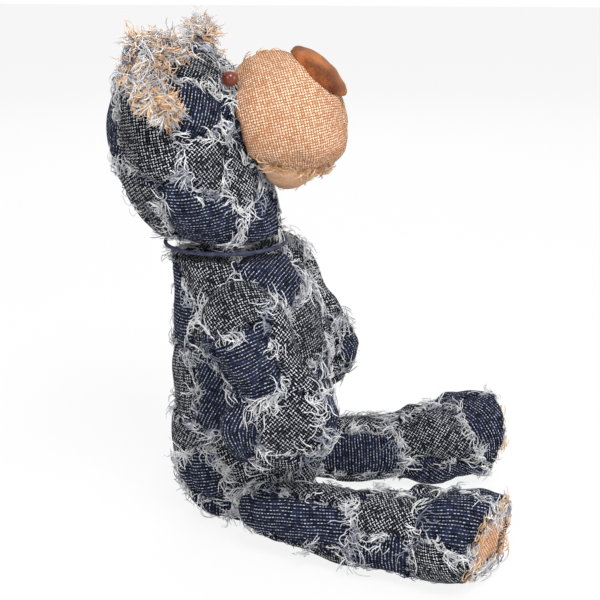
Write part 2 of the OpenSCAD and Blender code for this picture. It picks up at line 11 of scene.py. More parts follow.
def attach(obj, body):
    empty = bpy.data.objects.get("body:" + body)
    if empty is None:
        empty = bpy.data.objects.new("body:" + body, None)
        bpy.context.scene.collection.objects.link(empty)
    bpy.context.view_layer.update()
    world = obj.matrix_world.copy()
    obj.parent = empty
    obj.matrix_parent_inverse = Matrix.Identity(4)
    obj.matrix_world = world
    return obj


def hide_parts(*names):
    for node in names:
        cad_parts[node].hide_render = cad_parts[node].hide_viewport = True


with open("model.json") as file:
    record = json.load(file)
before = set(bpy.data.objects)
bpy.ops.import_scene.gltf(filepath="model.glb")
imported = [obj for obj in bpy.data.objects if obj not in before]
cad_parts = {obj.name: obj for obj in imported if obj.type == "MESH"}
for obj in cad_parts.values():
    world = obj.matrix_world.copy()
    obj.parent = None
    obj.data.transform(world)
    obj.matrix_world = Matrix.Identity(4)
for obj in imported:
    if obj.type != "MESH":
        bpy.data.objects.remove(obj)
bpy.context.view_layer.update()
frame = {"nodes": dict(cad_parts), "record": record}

MM = 0.001
VOXEL = 2.3 * MM            # grain of the simulated cloth; subdivided once afterwards
EAR_VOXEL = 1.0 * MM
SHEET = 1.2 * MM            # thickness of a patch
PILLOW = 1.0 * MM           # how far the middle of a patch stands above its seams
GROOVE = 1.4 * MM           # depth of a seam
RISE_LIMIT = 1.0 * MM       # how far the cloth may swell past the CAD cover
TAU = 2 * math.pi


# ---------------------------------------------------------------- meshes

def new_object(name, mesh):
    piece = bpy.data.objects.new(name, mesh)
    bpy.context.scene.collection.objects.link(piece)
    return piece


def mesh_from(name, points, *face_groups):
    """A mesh from an array of points and arrays of faces, each array with faces of one size."""
    mesh = bpy.data.meshes.new(name)
    groups = [np.asarray(g, np.int32) for g in face_groups if len(g)]
    corners = np.concatenate([g.ravel() for g in groups])
    sizes = np.concatenate([np.full(len(g), g.shape[1], np.int32) for g in groups])
    starts = np.concatenate([[0], np.cumsum(sizes)[:-1]]).astype(np.int32)
    mesh.vertices.add(len(points))
    mesh.vertices.foreach_set("co", np.asarray(points, np.float32).ravel())
    mesh.loops.add(len(corners))
    mesh.loops.foreach_set("vertex_index", corners)
    mesh.polygons.add(len(sizes))
    mesh.polygons.foreach_set("loop_start", starts)
    mesh.update(calc_edges=True)
    mesh.polygons.foreach_set("use_smooth", np.ones(len(sizes), bool))
    return mesh


def points_of(mesh):
    co = np.empty(len(mesh.vertices) * 3, np.float32)
    mesh.vertices.foreach_get("co", co)
    return co.reshape(-1, 3).astype(float)


def evaluated(piece):
    """The mesh of a piece with its modifiers applied, as a new mesh."""
    graph = bpy.context.evaluated_depsgraph_get()
    return bpy.data.meshes.new_from_object(piece.evaluated_get(graph))


def unit(v):
    return v / np.maximum(np.linalg.norm(v, axis=-1, keepdims=True), 1e-12)


def normals_of(points, quads):
    a, b, c, d = (points[quads[:, k]] for k in range(4))
    face = np.cross(c - a, d - b)
    total = np.zeros_like(points)
    for k in range(4):
        np.add.at(total, quads[:, k], face)
    return unit(total)


def edges_of(quads):
    pairs = np.concatenate([quads[:, [k, (k + 1) % 4]] for k in range(4)])
    return np.unique(np.sort(pairs, axis=1), axis=0)


def smoothed(points, edges, times, share=0.5):
    degree = np.bincount(edges.ravel(), minlength=len(points))[:, None]
    for _ in range(times):
        total = np.zeros_like(points)
        np.add.at(total, edges[:, 0], points[edges[:, 1]])
        np.add.at(total, edges[:, 1], points[edges[:, 0]])
        points = points + share * (total / degree - points)
    return points


def ripple(points, wavelength, seed, waves=7):
    """Smooth seeded noise of about one unit, one vector for each point."""
    rng = np.random.default_rng(seed)
    out = np.zeros_like(points)
    for _ in range(waves):
        direction = unit(rng.normal(size=3))
        spread = rng.uniform(0.7, 1.5)
        phase = points @ direction * TAU / (wavelength * spread) + rng.uniform(0, TAU)
        out += np.sin(phase)[:, None] * unit(rng.normal(size=3))
    return out * math.sqrt(2 / waves)


def node_faces(node):
    """The points and triangles of a CAD node."""
    mesh = frame["nodes"][node].data
    mesh.calc_loop_triangles()
    tris = np.empty(len(mesh.loop_triangles) * 3, np.int32)
    mesh.loop_triangles.foreach_get("vertices", tris)
    return points_of(mesh), tris.reshape(-1, 3)


def joined_nodes(nodes):
    points, faces, count = [], [], 0
    for node in nodes:
        p, f = node_faces(node)
        points.append(p)
        faces.append(f + count)
        count += len(p)
    return np.concatenate(points), np.concatenate(faces)


def largest_shell(points, quads):
    """Drops the closed-in shells that a remesh leaves inside a form."""
    label = np.arange(len(points))
    edges = edges_of(quads)
    while True:
        low = np.minimum(label[edges[:, 0]], label[edges[:, 1]])
        before = label.copy()
        np.minimum.at(label, edges[:, 0], low)
        np.minimum.at(label, edges[:, 1], low)
        label = label[label]
        if (label == before).all():
            break
    keep = label == np.bincount(label).argmax()
    index = np.cumsum(keep) - 1
    return points[keep], index[quads[keep[quads[:, 0]]]]


def remeshed(name, nodes, voxel):
    """The outside of some CAD nodes as one even mesh of quads."""
    points, faces = joined_nodes(nodes)
    piece = new_object(name, mesh_from(name, points, faces))
    remesh = piece.modifiers.new("Remesh", "REMESH")
    remesh.mode = "VOXEL"
    remesh.voxel_size = voxel
    mesh = evaluated(piece)
    bpy.data.objects.remove(piece)
    quads = np.empty(len(mesh.loops), np.int32)
    mesh.loops.foreach_get("vertex_index", quads)
    return largest_shell(points_of(mesh), quads.reshape(-1, 4))


def subdivided(points, quads):
    piece = new_object("subdividing", mesh_from("subdividing", points, quads))
    piece.modifiers.new("Subdivision", "SUBSURF").levels = 1
    mesh = evaluated(piece)
    bpy.data.objects.remove(piece)
    corners = np.empty(len(mesh.loops), np.int32)
    mesh.loops.foreach_get("vertex_index", corners)
    return points_of(mesh), corners.reshape(-1, 4)


def swollen(points, quads, seam, limit):
    """Cloth under pressure, with its seams drawn in: the seams pucker and the patches between them swell."""
    piece = new_object("cloth", mesh_from("cloth", points, quads))
    group = piece.vertex_groups.new(name="seam")
    for step in range(1, 11):
        chosen = np.nonzero((seam * 10).round().astype(int) == step)[0]
        if len(chosen):
            group.add(chosen.tolist(), step / 10, "REPLACE")
    cloth = piece.modifiers.new("Cloth", "CLOTH")
    settings = cloth.settings
    settings.quality = 5
    settings.mass = 0.2
    settings.tension_stiffness = settings.compression_stiffness = 12
    settings.shear_stiffness = 4
    settings.bending_stiffness = 0.2
    settings.use_pressure = True
    settings.uniform_pressure_force = 4
    settings.vertex_group_shrink = "seam"
    settings.shrink_min = -0.04
    settings.shrink_max = 0.09
    settings.effector_weights.gravity = 0
    scene = bpy.context.scene
    for step in range(1, 21):
        scene.frame_set(step)
    moved = points_of(evaluated(piece))
    bpy.data.objects.remove(piece)
    scene.frame_set(1)
    normals = normals_of(points, quads)
    shift = moved - points
    out = (shift * normals).sum(1, keepdims=True)
    along = shift - out * normals
    along *= np.minimum(1, 2.0 * MM / np.maximum(np.linalg.norm(along, axis=1, keepdims=True), 1e-9))
    return points + along + np.clip(out, -2.5 * MM, limit) * normals


# ---------------------------------------------------------------- materials

class Shader:
    """Builds a node material a line at a time. Numbers and sockets go in alike."""

    def __init__(self, name):
        self.material = bpy.data.materials.new(name)
        self.material.use_nodes = True
        self.tree = self.material.node_tree
        self.principled = self.tree.nodes["Principled BSDF"]

    def node(self, kind, inputs=None, **settings):
        made = self.tree.nodes.new("ShaderNode" + kind)
        for key, value in settings.items():
            setattr(made, key, value)
        for key, value in (inputs or {}).items():
            self.put(made.inputs[key], value)
        return made

    def put(self, socket, value):
        if isinstance(value, bpy.types.NodeSocket):
            self.tree.links.new(value, socket)
        else:
            socket.default_value = value

    def math(self, operation, a, b=0.0):
        return self.node("Math", {0: a, 1: b}, operation=operation).outputs[0]

    def blend(self, factor, a, b):
        made = self.node("Mix", data_type="RGBA")
        for socket, value in zip((made.inputs[0], made.inputs[6], made.inputs[7]), (factor, a, b)):
            self.put(socket, value)
        return made.outputs[2]

    def step(self, value, low, high, to_low=0.0, to_high=1.0):
        inputs = {0: value, 1: low, 2: high, 3: to_low, 4: to_high}
        return self.node("MapRange", inputs, interpolation_type="SMOOTHSTEP").outputs[0]

    def noise(self, vector, scale, detail=2.0):
        return self.node("TexNoise", {"Vector": vector, "Scale": scale, "Detail": detail})

    def place(self):
        """Where on the body a point is, in metres, the same from every side."""
        return self.node("TexCoord").outputs["Object"]

    def weave_uv(self, pitch, wander, rough=4.0):
        """Threads counted along and across the cloth, which wander a little."""
        uv = self.node("UVMap", uv_map="weave").outputs[0]
        bend = self.noise(uv, 70, rough).outputs["Color"]
        centred = self.node("VectorMath", {0: bend, 1: (0.5, 0.5, 0.5)}, operation="SUBTRACT").outputs[0]
        off = self.node("VectorMath", {0: centred, "Scale": wander}, operation="SCALE").outputs[0]
        moved = self.node("VectorMath", {0: uv, 1: off}, operation="ADD").outputs[0]
        counted = self.node("VectorMath", {0: moved, "Scale": 1 / pitch}, operation="SCALE").outputs[0]
        split = self.node("SeparateXYZ", {0: counted})
        return split.outputs[0], split.outputs[1]

    def bump(self, height, distance, strength=1.0):
        made = self.node("Bump", {"Height": height, "Distance": distance, "Strength": strength})
        self.put(self.principled.inputs["Normal"], made.outputs[0])

    def finish(self, colour, roughness=0.9, specular=0.2):
        self.put(self.principled.inputs["Base Color"], colour)
        self.principled.inputs["Roughness"].default_value = roughness
        self.principled.inputs["Specular IOR Level"].default_value = specular
        return self.material


def woven(name, pitch, gap, dark, light, width=0.30, length=0.46, depth=0.35, wander=1.1 * MM, fade=0.55):
    """Coarse cloth: on each crossing a thread shows, in turn along and across; the gap colour between the threads is
    painted shade.
    """
    s = Shader(name)
    u, v = s.weave_uv(pitch, wander)
    fu, fv = s.math("FRACT", u), s.math("FRACT", v)
    iu, iv = s.math("FLOOR", u), s.math("FLOOR", v)
    turn = s.math("FLOORED_MODULO", s.math("ADD", iu, iv), 2.0)
    keep = s.math("SUBTRACT", 1.0, turn)
    along = s.math("ADD", s.math("MULTIPLY", fu, keep), s.math("MULTIPLY", fv, turn))
    across = s.math("ADD", s.math("MULTIPLY", fv, keep), s.math("MULTIPLY", fu, turn))
    a = s.math("ABSOLUTE", s.math("SUBTRACT", along, 0.5))
    c = s.math("ABSOLUTE", s.math("SUBTRACT", across, 0.5))
    dash = s.math("MULTIPLY", s.step(c, width + 0.09, width - 0.09), s.step(a, length + 0.08, length - 0.12))
    cell = s.node("CombineXYZ", {0: iu, 1: iv}).outputs[0]
    random = s.node("TexWhiteNoise", {"Vector": cell}, noise_dimensions="2D").outputs["Value"]
    worn = s.noise(s.place(), 45, 3).outputs[0]
    tone = s.math("MULTIPLY", s.step(random, 0.05, 0.75, 1 - fade, 1.0), s.step(worn, 0.3, 0.6, 0.65, 1.0))
    thread = s.blend(tone, dark, light)
    s.bump(s.math("MULTIPLY", dash, s.step(c, 0.5, 0.0, 0.2, 1.0)), depth * MM)
    # Between the threads the gap colour is painted shade.
    return s.finish(s.blend(dash, gap, thread), 0.95, 0.08)


def stitched(name, pitch, ground, ground_light, stitch):
    """Navy cloth with rows of short pale stitches and a fine rib between them."""
    s = Shader(name)
    u, v = s.weave_uv(pitch, 2.2 * MM, 3.0)
    row = s.math("FLOOR", v)
    shift = s.node("TexWhiteNoise", {"W": row}, noise_dimensions="1D").outputs["Value"]
    run = s.math("ADD", s.math("MULTIPLY", u, 1.05), s.math("MULTIPLY", shift, 3.0))
    a = s.math("ABSOLUTE", s.math("SUBTRACT", s.math("FRACT", run), 0.5))
    c = s.math("ABSOLUTE", s.math("SUBTRACT", s.math("FRACT", v), 0.5))
    dash = s.math("MULTIPLY", s.step(c, 0.17, 0.06), s.step(a, 0.38, 0.26))
    cell = s.node("CombineXYZ", {0: s.math("FLOOR", run), 1: row}).outputs[0]
    random = s.node("TexWhiteNoise", {"Vector": cell}, noise_dimensions="2D").outputs["Value"]
    shown = s.math("MULTIPLY", dash, s.step(random, 0.1, 0.9, 0.08, 1.0))
    rib = s.math("SINE", s.math("MULTIPLY", v, 3 * TAU))
    worn = s.noise(s.place(), 300, 3).outputs[0]
    base = s.blend(s.step(worn, 0.35, 0.7), ground, ground_light)
    height = s.math("ADD", s.math("MULTIPLY", rib, 0.18), dash)
    s.bump(s.math("ADD", height, s.math("MULTIPLY", worn, 0.5)), 0.28 * MM)
    return s.finish(s.blend(shown, base, stitch), 0.95, 0.08)


def suede(name, dark, light):
    s = Shader(name)
    broad = s.noise(s.place(), 90, 3).outputs[0]
    nap = s.noise(s.place(), 1500, 3).outputs[0]
    both = s.math("ADD", s.math("MULTIPLY", broad, 0.75), s.math("MULTIPLY", nap, 0.25))
    s.bump(nap, 0.25 * MM)
    s.principled.inputs["Sheen Weight"].default_value = 0.35
    s.principled.inputs["Sheen Tint"].default_value = (1.0, 0.62, 0.36, 1)
    return s.finish(s.blend(s.step(both, 0.36, 0.66), dark, light), 0.85, 0.15)


def yarn(name, dark, light):
    s = Shader(name)
    tone = s.noise(s.place(), 260, 2).outputs[0]
    s.bump(s.noise(s.place(), 3500, 1).outputs[0], 0.08 * MM)
    return s.finish(s.blend(s.step(tone, 0.35, 0.65), dark, light), 0.92, 0.1)


def plastic(name, dark, light, roughness):
    s = Shader(name)
    s.bump(s.noise(s.place(), 700, 2).outputs[0], 0.03 * MM)
    tone = s.noise(s.place(), 120, 2).outputs[0]
    return s.finish(s.blend(tone, dark, light), roughness, 0.5)


# For the woven cloths the first colour is the gap's, which is painted shade between the threads; then come the dark and
# light thread colours.
CLOTH = {
    "weave": woven("denim_weave", 1.45 * MM, (0.002, 0.0025, 0.006, 1), (0.008, 0.010, 0.020, 1),
                   (0.88, 0.89, 0.94, 1), width=0.14, length=0.46, fade=0.93),
    "stitch": stitched("denim_stitched", 1.55 * MM, (0.004, 0.006, 0.015, 1), (0.018, 0.025, 0.058, 1),
                       (0.70, 0.72, 0.80, 1)),
    "burlap": woven("burlap", 1.25 * MM, (0.36, 0.12, 0.04, 1), (0.66, 0.34, 0.18, 1), (0.97, 0.70, 0.50, 1),
                    width=0.32, length=0.5, depth=0.4, fade=0.8),
    "fine": woven("fine_peach_weave", 0.6 * MM, (0.46, 0.20, 0.10, 1), (0.60, 0.32, 0.18, 1), (0.84, 0.54, 0.35, 1),
                  width=0.40, length=0.5, depth=0.14, wander=0.6 * MM, fade=0.5),
}
YARN = {
    "white": yarn("yarn_white", (0.60, 0.60, 0.64, 1), (0.92, 0.92, 0.92, 1)),
    "grey": yarn("yarn_grey", (0.16, 0.18, 0.25, 1), (0.38, 0.40, 0.48, 1)),
    "navy": yarn("yarn_navy", (0.008, 0.010, 0.022, 1), (0.03, 0.04, 0.085, 1)),
    "peach": yarn("yarn_peach", (0.72, 0.42, 0.22, 1), (0.92, 0.70, 0.48, 1)),
}
FILLING = yarn("fibre_filling", (0.72, 0.71, 0.68, 1), (0.88, 0.87, 0.84, 1))
THREAD = yarn("thread", (0.035, 0.04, 0.07, 1), (0.07, 0.075, 0.12, 1))
SUEDE = suede("suede", (0.10, 0.022, 0.006, 1), (0.42, 0.13, 0.04, 1))
EYE = plastic("eye_bead", (0.06, 0.010, 0.005, 1), (0.22, 0.040, 0.014, 1), 0.18)
SQUEAKER = plastic("squeaker_plastic", (0.72, 0.74, 0.76, 1), (0.8, 0.82, 0.84, 1), 0.45)


# ---------------------------------------------------------------- patches

# Each patch: its own name, the CAD node that it stands for, the place of its
# middle in millimetres, its cloth, and how far its weave is turned, degrees.
# Places are on the bear's right (-X); `both` makes the left one as well.
def both(patches, swap=()):
    """The patches of the right side, and their mirror images on the left."""
    out = []
    for name, node, (x, y, z), cloth, turn in patches:
        out.append(("right_" + name, node.replace("SIDE", "right"), (x, y, z), cloth, turn))
        other = {"weave": "stitch", "stitch": "weave"}.get(cloth, cloth) if name in swap else cloth
        out.append(("left_" + name, node.replace("SIDE", "left"), (-x, y, z), other, -turn))
    return out


TORSO = both([
    ("collar", "chest_patch", (-20, -15, 130), "stitch", 30),
    ("breast", "chest_patch", (-14, -34, 100), "weave", 10),
    ("belly", "belly_patch", (-16, -40, 72), "stitch", 80),
    ("lap", "lap_patch", (-10, -34, 34), "weave", 40),
    ("shoulder_blade", "upper_back_patch", (-16, 38, 108), "stitch", 5),
    ("small_of_back", "mid_back_patch", (-18, 36, 72), "weave", 12),
    ("rump", "lower_back_patch", (-12, 36, 42), "weave", 50),
    ("tail_side", "lower_back_patch", (-10, 26, 14), "stitch", 75),
    ("collar_side", "SIDE_upper_flank_patch", (-26, 16, 132), "weave", 35),
    ("armpit", "SIDE_upper_flank_patch", (-34, 4, 108), "weave", 0),
    ("waist", "SIDE_mid_flank_patch", (-34, 8, 76), "stitch", 60),
    ("hip", "SIDE_lower_flank_patch", (-18, 0, 34), "weave", 20),
    ("haunch", "SIDE_lower_flank_patch", (-18, 26, 24), "stitch", 10),
], swap=("belly", "rump", "shoulder_blade")) + [
    ("seat", "seat_panel", (0, 0, -6), "weave", 0),
]

HEAD = both([
    ("forehead", "crown_patch", (-26, 8, 222), "weave", 35),
    ("crown", "crown_patch", (-16, 42, 228), "stitch", 20),
    ("temple_band", "SIDE_temple_patch", (-42, 12, 205), "stitch", 65),
    ("cheek", "SIDE_temple_patch", (-42, 4, 182), "weave", 40),
    ("ear_root", "SIDE_temple_patch", (-44, 42, 188), "weave", 10),
    ("muzzle_side", "throat_patch", (-26, -8, 176), "weave", 45),
    ("chin", "throat_patch", (-14, -14, 152), "stitch", 0),
    ("jaw", "SIDE_jaw_patch", (-42, 18, 156), "stitch", 4),
    ("jaw_back", "SIDE_jaw_patch", (-34, 44, 160), "weave", 25),
    ("nape", "nape_patch", (-14, 52, 152), "weave", 70),
    ("back_of_head", "back_head_patch", (-18, 62, 190), "stitch", 85),
    ("brow", "brow_patch", (-16, -4, 206), "stitch", 50),
], swap=("crown", "nape", "back_of_head"))

MUZZLE = both([
    ("muzzle_side", "muzzle_upper", (-18, -20, 195), "burlap", 12),
    ("muzzle_chin", "muzzle_lower", (-18, -13, 155), "fine", 30),
])

ARM = [
    ("shoulder", "SIDE_upper_arm_patches", (-60, 6, 128), "weave", 50),
    ("arm_band", "SIDE_upper_arm_patches", (-66, -8, 100), "stitch", 25),
    ("arm_front", "SIDE_upper_arm_patches", (-54, -32, 106), "weave", 20),
    ("arm_rear", "SIDE_upper_arm_patches", (-50, 22, 104), "stitch", 80),
    ("arm_inside", "SIDE_upper_arm_patches", (-38, -6, 108), "weave", 0),
    ("paw_back", "SIDE_paw_patches", (-66, -30, 70), "weave", 48),
    ("paw_rear", "SIDE_paw_patches", (-58, 6, 66), "stitch", 85),
    ("paw_front", "SIDE_paw_patches", (-50, -54, 72), "stitch", 70),
    ("paw_tip", "SIDE_paw_patches", (-54, -26, 44), "weave", 15),
    ("palm", "SIDE_paw_patches", (-38, -20, 70), "weave", 30),
]

LEG = [
    ("thigh_side", "SIDE_thigh_patches", (-60, -38, 26), "stitch", 5),
    ("knee_top", "SIDE_thigh_patches", (-42, -46, 40), "weave", 30),
    ("thigh_inside", "SIDE_thigh_patches", (-26, -50, 24), "stitch", 88),
    ("thigh_under", "SIDE_thigh_patches", (-44, -44, 0), "weave", 10),
    ("shin", "SIDE_foot_patches", (-62, -68, 36), "weave", 45),
    ("ankle", "SIDE_foot_patches", (-70, -68, 14), "stitch", 86),
    ("foot_side", "SIDE_foot_patches", (-72, -98, 42), "stitch", 4),
    ("heel", "SIDE_foot_patches", (-74, -92, 10), "weave", 20),
    ("foot_inside", "SIDE_foot_patches", (-37, -86, 32), "weave", 25),
    ("toes", "SIDE_foot_patches", (-48, -114, 46), "stitch", 80),
    ("heel_inside", "SIDE_foot_patches", (-42, -84, 4), "stitch", 40),
]


def sided(patches, side):
    """One limb's patches, for the side that it is on."""
    sign = -1 if side == "left" else 1
    return [
        (f"{side}_{name}", node.replace("SIDE", side), (sign * x, y, z), cloth, sign * turn)
        for name, node, (x, y, z), cloth, turn in patches
    ]


def surface_tree(points, faces):
    return BVHTree.FromPolygons([Vector(p) for p in points], faces.tolist())


def distances(tree, points):
    return np.array([tree.find_nearest(Vector(p))[3] for p in points])


class Form:
    """One stuffed part: its cloth surface, cut into patches."""

    def __init__(self, name, body, nodes, patches, voxel=VOXEL, planes=(), front=None, limit=RISE_LIMIT, seed=1):
        self.name, self.body, self.patches, self.planes, self.seed = name, body, patches, planes, seed
        self.front = front
        coarse, quads = remeshed(name, nodes, voxel)
        coarse = smoothed(coarse, edges_of(quads), 6)
        self.cut(coarse, normals_of(coarse, quads))
        seam = np.exp(-(self.from_seam / (2.6 * MM)) ** 2)
        coarse = swollen(coarse, quads, seam, limit)
        self.coarse, self.coarse_quads = coarse, quads
        self.points, self.quads = subdivided(coarse, quads)
        self.normals = normals_of(self.points, self.quads)
        self.assign()
        self.shape()

    def cut(self, at, normals):
        """For each point the nearest patch, the way to the next one, and how far off their seam is."""
        if self.front is not None:
            facing = normals @ self.front - 0.1
            self.first = (facing > 0).astype(int)
            self.lead = self.from_seam = np.abs(facing) * 3 * MM
            self.toward = np.zeros_like(at)
            return
        seeds = np.array([p[2] for p in self.patches]) * MM
        wavy = at + ripple(at, 34 * MM, self.seed) * 1.6 * MM + ripple(at, 11 * MM, self.seed + 1) * 0.5 * MM
        square = ((wavy[:, None] - seeds[None]) ** 2).sum(2)
        order = np.argsort(square, axis=1)[:, :2]
        rows = np.arange(len(at))
        first, second = order[:, 0], order[:, 1]
        apart = np.linalg.norm(seeds[first] - seeds[second], axis=1)
        self.first = first
        self.lead = (square[rows, second] - square[rows, first]) / (2 * apart)
        self.toward = unit(seeds[second] - seeds[first])
        for node_index, (point, normal) in enumerate(self.planes, start=len(self.patches)):
            depth = (at - point) @ normal
            beyond = depth > 0
            self.first = np.where(beyond, node_index, self.first)
            closer = np.abs(depth) < np.abs(self.lead)
            self.lead = np.where(closer | beyond, np.abs(depth), self.lead)
            way = np.where(beyond[:, None], -normal, normal)
            self.toward = np.where((closer | beyond)[:, None], way, self.toward)
        self.from_seam = np.abs(self.lead)

    def assign(self):
        """Gives each face a patch, and moves the points between patches onto the seam."""
        self.cut(self.points[self.quads].mean(1), unit(self.normals[self.quads].mean(1)))
        self.face_patch = self.first
        low = np.full(len(self.points), 10 ** 6)
        high = np.full(len(self.points), -1)
        for k in range(4):
            np.minimum.at(low, self.quads[:, k], self.face_patch)
            np.maximum.at(high, self.quads[:, k], self.face_patch)
        self.cut(self.points, self.normals)
        flat = self.toward - (self.toward * self.normals).sum(1, keepdims=True) * self.normals
        reach = (flat ** 2).sum(1, keepdims=True)
        # `low` and `high` differ only on a seam; there the lead tells how far it has to go
        step = self.lead[:, None] * flat / np.maximum(reach, 0.25)
        length = np.linalg.norm(step, axis=1, keepdims=True)
        step *= np.minimum(1, 0.9 * MM / np.maximum(length, 1e-9))
        on_seam = (low != high)[:, None]
        self.points = self.points + np.where(on_seam, step, 0)
        self.on_seam = on_seam[:, 0]

    def shape(self):
        """Lets the patches swell, and draws the seams in with puckers beside them."""
        self.cut(self.points, self.normals)
        gap = np.where(self.on_seam, 0, self.from_seam)
        swell = PILLOW * (1 - np.exp(-gap / (7 * MM)))
        draw = GROOVE * np.exp(-(gap / (1.7 * MM)) ** 2)
        pucker = 0.45 * MM * ripple(self.points, 8 * MM, self.seed + 2)[:, 0] * np.exp(-gap / (6 * MM))
        broad = 0.9 * MM * ripple(self.points, 26 * MM, self.seed + 3)[:, 1]
        self.points = self.points + (swell - draw + pucker + broad)[:, None] * self.normals
        self.points[:, 2] = np.maximum(self.points[:, 2], 0.4 * MM)
        self.normals = normals_of(self.points, self.quads)

    def cloth_of(self, index):
        return self.patches[index][3] if index < len(self.patches) else "burlap"

    def seams(self):
        """The seam's pieces: their ends, and the patch on each side."""
        pairs = np.concatenate([self.quads[:, [k, (k + 1) % 4]] for k in range(4)])
        faces = np.tile(np.arange(len(self.quads)), 4)
        order = np.lexsort((pairs.max(1), pairs.min(1)))
        pairs, faces = np.sort(pairs[order], axis=1), faces[order]
        twin = (pairs[:-1] == pairs[1:]).all(1)
        a, b = self.face_patch[faces[:-1][twin]], self.face_patch[faces[1:][twin]]
        edge = pairs[:-1][twin]
        cut = a != b
        return edge[cut], a[cut], b[cut]


def weave_map(points, normals, middle, turn):
    """Flattens a patch: metres along and across its weave, measured over its bulge."""
    near = np.argmin(((points - middle) ** 2).sum(1))
    normal = unit(normals[np.linalg.norm(points - points[near], axis=1) < 12 * MM].mean(0))
    side = np.cross(normal, (0, 0, 1)) if abs(normal[2]) < 0.9 else np.array([1.0, 0, 0])
    side = unit(side - (side @ normal) * normal)
    along = math.cos(turn) * side + math.sin(turn) * np.cross(normal, side)
    across = np.cross(normal, along)
    half = np.arccos(np.clip(normals @ normal, -0.9, 1)) / 2
    stretch = np.where(half > 0.01, half / np.sin(np.maximum(half, 0.01)), 1)
    flat = points - points[near]
    flat = unit(flat - (flat @ normal)[:, None] * normal) * np.linalg.norm(flat, axis=1, keepdims=True)
    return np.stack([flat @ along, flat @ across], 1) * stretch[:, None]


def patch_piece(form, index, name, node, middle, cloth, turn):
    """One patch as a sheet of its cloth, with thickness."""
    faces = form.quads[form.face_patch == index]
    used, inverse = np.unique(faces, return_inverse=True)
    faces = inverse.reshape(faces.shape)
    points, normals = form.points[used], form.normals[used]
    mesh = mesh_from(name, points, faces)
    uv = weave_map(points, normals, np.array(middle) * MM, math.radians(turn))
    mesh.uv_layers.new(name="weave").data.foreach_set("uv", uv[faces.ravel()].astype(np.float32).ravel())
    mesh.materials.append(CLOTH[cloth])
    piece = new_object(name, mesh)
    solid = piece.modifiers.new("Thickness", "SOLIDIFY")
    solid.thickness = SHEET
    solid.offset = -1
    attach(piece, form.body)
    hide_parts(node)
    return piece


def padding_piece(form, node, inset):
    """The filling inside a form."""
    normals = normals_of(form.coarse, form.coarse_quads)
    points = smoothed(form.coarse - inset * normals, edges_of(form.coarse_quads), 2)
    points[:, 2] = np.maximum(points[:, 2], 2.2 * MM)
    mesh = mesh_from(form.name + "_padding", points, form.coarse_quads)
    mesh.materials.append(FILLING)
    piece = new_object(form.name + "_padding", mesh)
    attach(piece, form.body)
    if node:
        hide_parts(node)
    return piece


# ---------------------------------------------------------------- forms

def nodes_of(body, *without):
    return [n for n in frame["record"]["behaviour"]["bodies"][body] if not any(w in n for w in without)]


def sole_plane(side):
    """The plane of the sole's rim: a point on it, and the way the sole faces."""
    points, _ = node_faces(f"{side}_sole")
    middle = points.mean(0)
    normal = np.linalg.svd(points - middle)[2][2]
    normal *= np.sign(normal @ (0, -1, 0))
    return middle + ((points - middle) @ normal).min() * normal, normal


def ear_front(side):
    """The way that the hollow of an ear faces."""
    lining, back = (node_faces(f"{side}_ear_{part}")[0] for part in ("lining", "back"))
    middle = lining.mean(0)
    normal = np.linalg.svd(lining - middle, full_matrices=False)[2][2]
    return normal * np.sign(normal @ (middle - back.mean(0)))


def ear_patches(side):
    """An ear's two sides, each with its middle where the CAD has it."""
    out = []
    for name, node, cloth, turn in (("ear_back", "_ear_back", "weave", 20), ("ear_front", "_ear_lining", "burlap", 15)):
        points, _ = node_faces(side + node)
        out.append((f"{side}_{name}_cover", side + node, tuple(points.mean(0) / MM), cloth, turn))
    return out


forms = {}
forms["torso"] = Form("torso", "torso", nodes_of("torso", "squeaker", "thread"), TORSO, seed=11)
forms["head"] = Form("head", "head", nodes_of("head", "muzzle", "nose", "eye", "stitch"), HEAD, seed=21)
forms["muzzle"] = Form("muzzle", "head", ["muzzle_upper", "muzzle_lower", "muzzle_stuffing"], MUZZLE, seed=31)
for number, side in enumerate(("right", "left")):
    forms[side + "_arm"] = Form(side + "_arm", side + "_arm", nodes_of(side + "_arm"), sided(ARM, side),
                                seed=41 + 10 * number)
    forms[side + "_leg"] = Form(side + "_leg", side + "_leg", nodes_of(side + "_leg"), sided(LEG, side),
                                planes=[sole_plane(side)], seed=61 + 10 * number)
    forms[side + "_ear"] = Form(side + "_ear", side + "_ear", nodes_of(side + "_ear"), ear_patches(side),
                                voxel=EAR_VOXEL, front=ear_front(side), limit=0.8 * MM, seed=81 + 10 * number)

for form in forms.values():
    for index, (name, node, middle, cloth, turn) in enumerate(form.patches):
        patch_piece(form, index, name, node, middle, cloth, turn)
for side in ("right", "left"):
    leg = forms[side + "_leg"]
    middle = node_faces(f"{side}_sole")[0].mean(0) / MM
    patch_piece(leg, len(leg.patches), f"{side}_sole_cover", f"{side}_sole", middle, "burlap", 40)

padding_piece(forms["torso"], "torso_stuffing", 2.4 * MM)
padding_piece(forms["head"], "head_stuffing", 2.4 * MM)
padding_piece(forms["muzzle"], "muzzle_stuffing", 2.4 * MM)
for side in ("right", "left"):
    padding_piece(forms[side + "_arm"], f"{side}_arm_stuffing", 2.4 * MM)
    padding_piece(forms[side + "_leg"], f"{side}_leg_stuffing", 2.4 * MM)
    padding_piece(forms[side + "_ear"], None, 1.5 * MM)


# ---------------------------------------------------------------- nose, eyes, inner pieces

def nose_piece():
    points, quads = remeshed("nose", ["nose_pad"], 1.0 * MM)
    points = smoothed(points, edges_of(quads), 10)
    points, quads = subdivided(points, quads)
    normals = normals_of(points, quads)
    points = points + (0.35 + 0.3 * ripple(points, 9 * MM, 5)[:, :1]) * MM * normals
    mesh = mesh_from("nose", points, quads)
    mesh.materials.append(SUEDE)
    piece = new_object("nose", mesh)
    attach(piece, "head")
    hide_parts("nose_pad")


